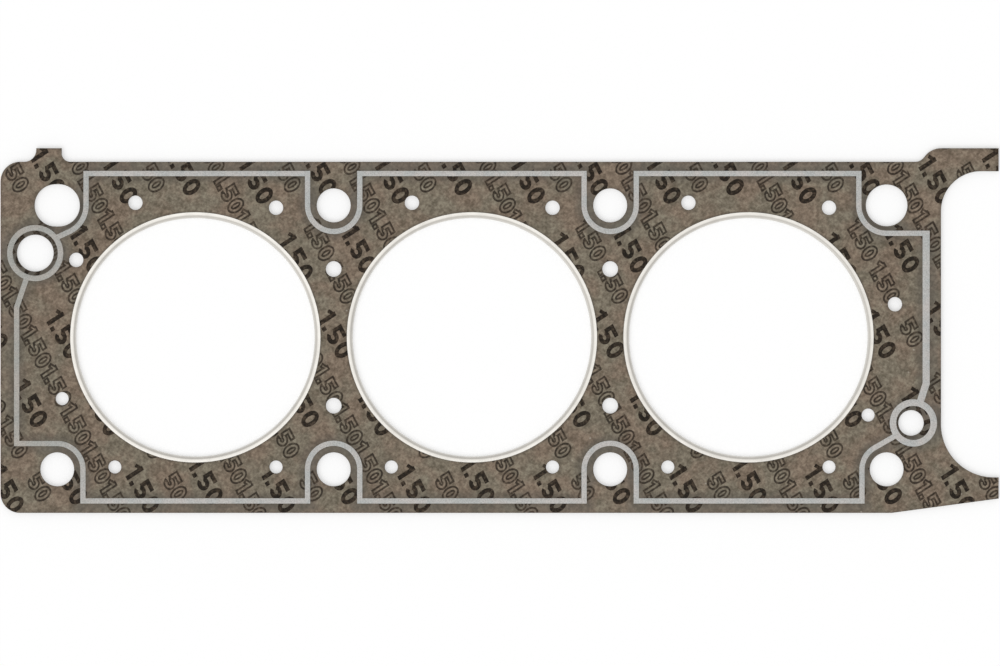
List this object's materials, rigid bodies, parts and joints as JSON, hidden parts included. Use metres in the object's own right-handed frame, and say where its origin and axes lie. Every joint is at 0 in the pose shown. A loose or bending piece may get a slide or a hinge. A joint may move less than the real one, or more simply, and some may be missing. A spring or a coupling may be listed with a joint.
{
  "type": "cylinder head gasket",
  "caption": "Composite head gasket for one bank of a V engine, with folded steel fire rings, soft facings on a steel core and a raised bead on each face.",
  "frame": {"origin": "axis of the middle cylinder at the block side of the fire rings", "axes": "+X along the bank towards the timing chain end, +Y across the bank towards the side with the tab and the dowel holes, +Z along the cylinders towards the head"},
  "size_m": [0.3826, 0.1398, 0.002],
  "materials": {
    "facing": "matte",
    "core_steel": "satin",
    "bead": "matte",
    "ring_steel": "satin"
  },
  "bodies": {
    "root": {"facing_bottom": "facing", "steel_core": "core_steel", "facing_top": "facing", "bead_top": "bead", "bead_bottom": "bead", "fire_ring_1": "ring_steel", "fire_ring_2": "ring_steel", "fire_ring_3": "ring_steel"}
  },
  "joints": []
}
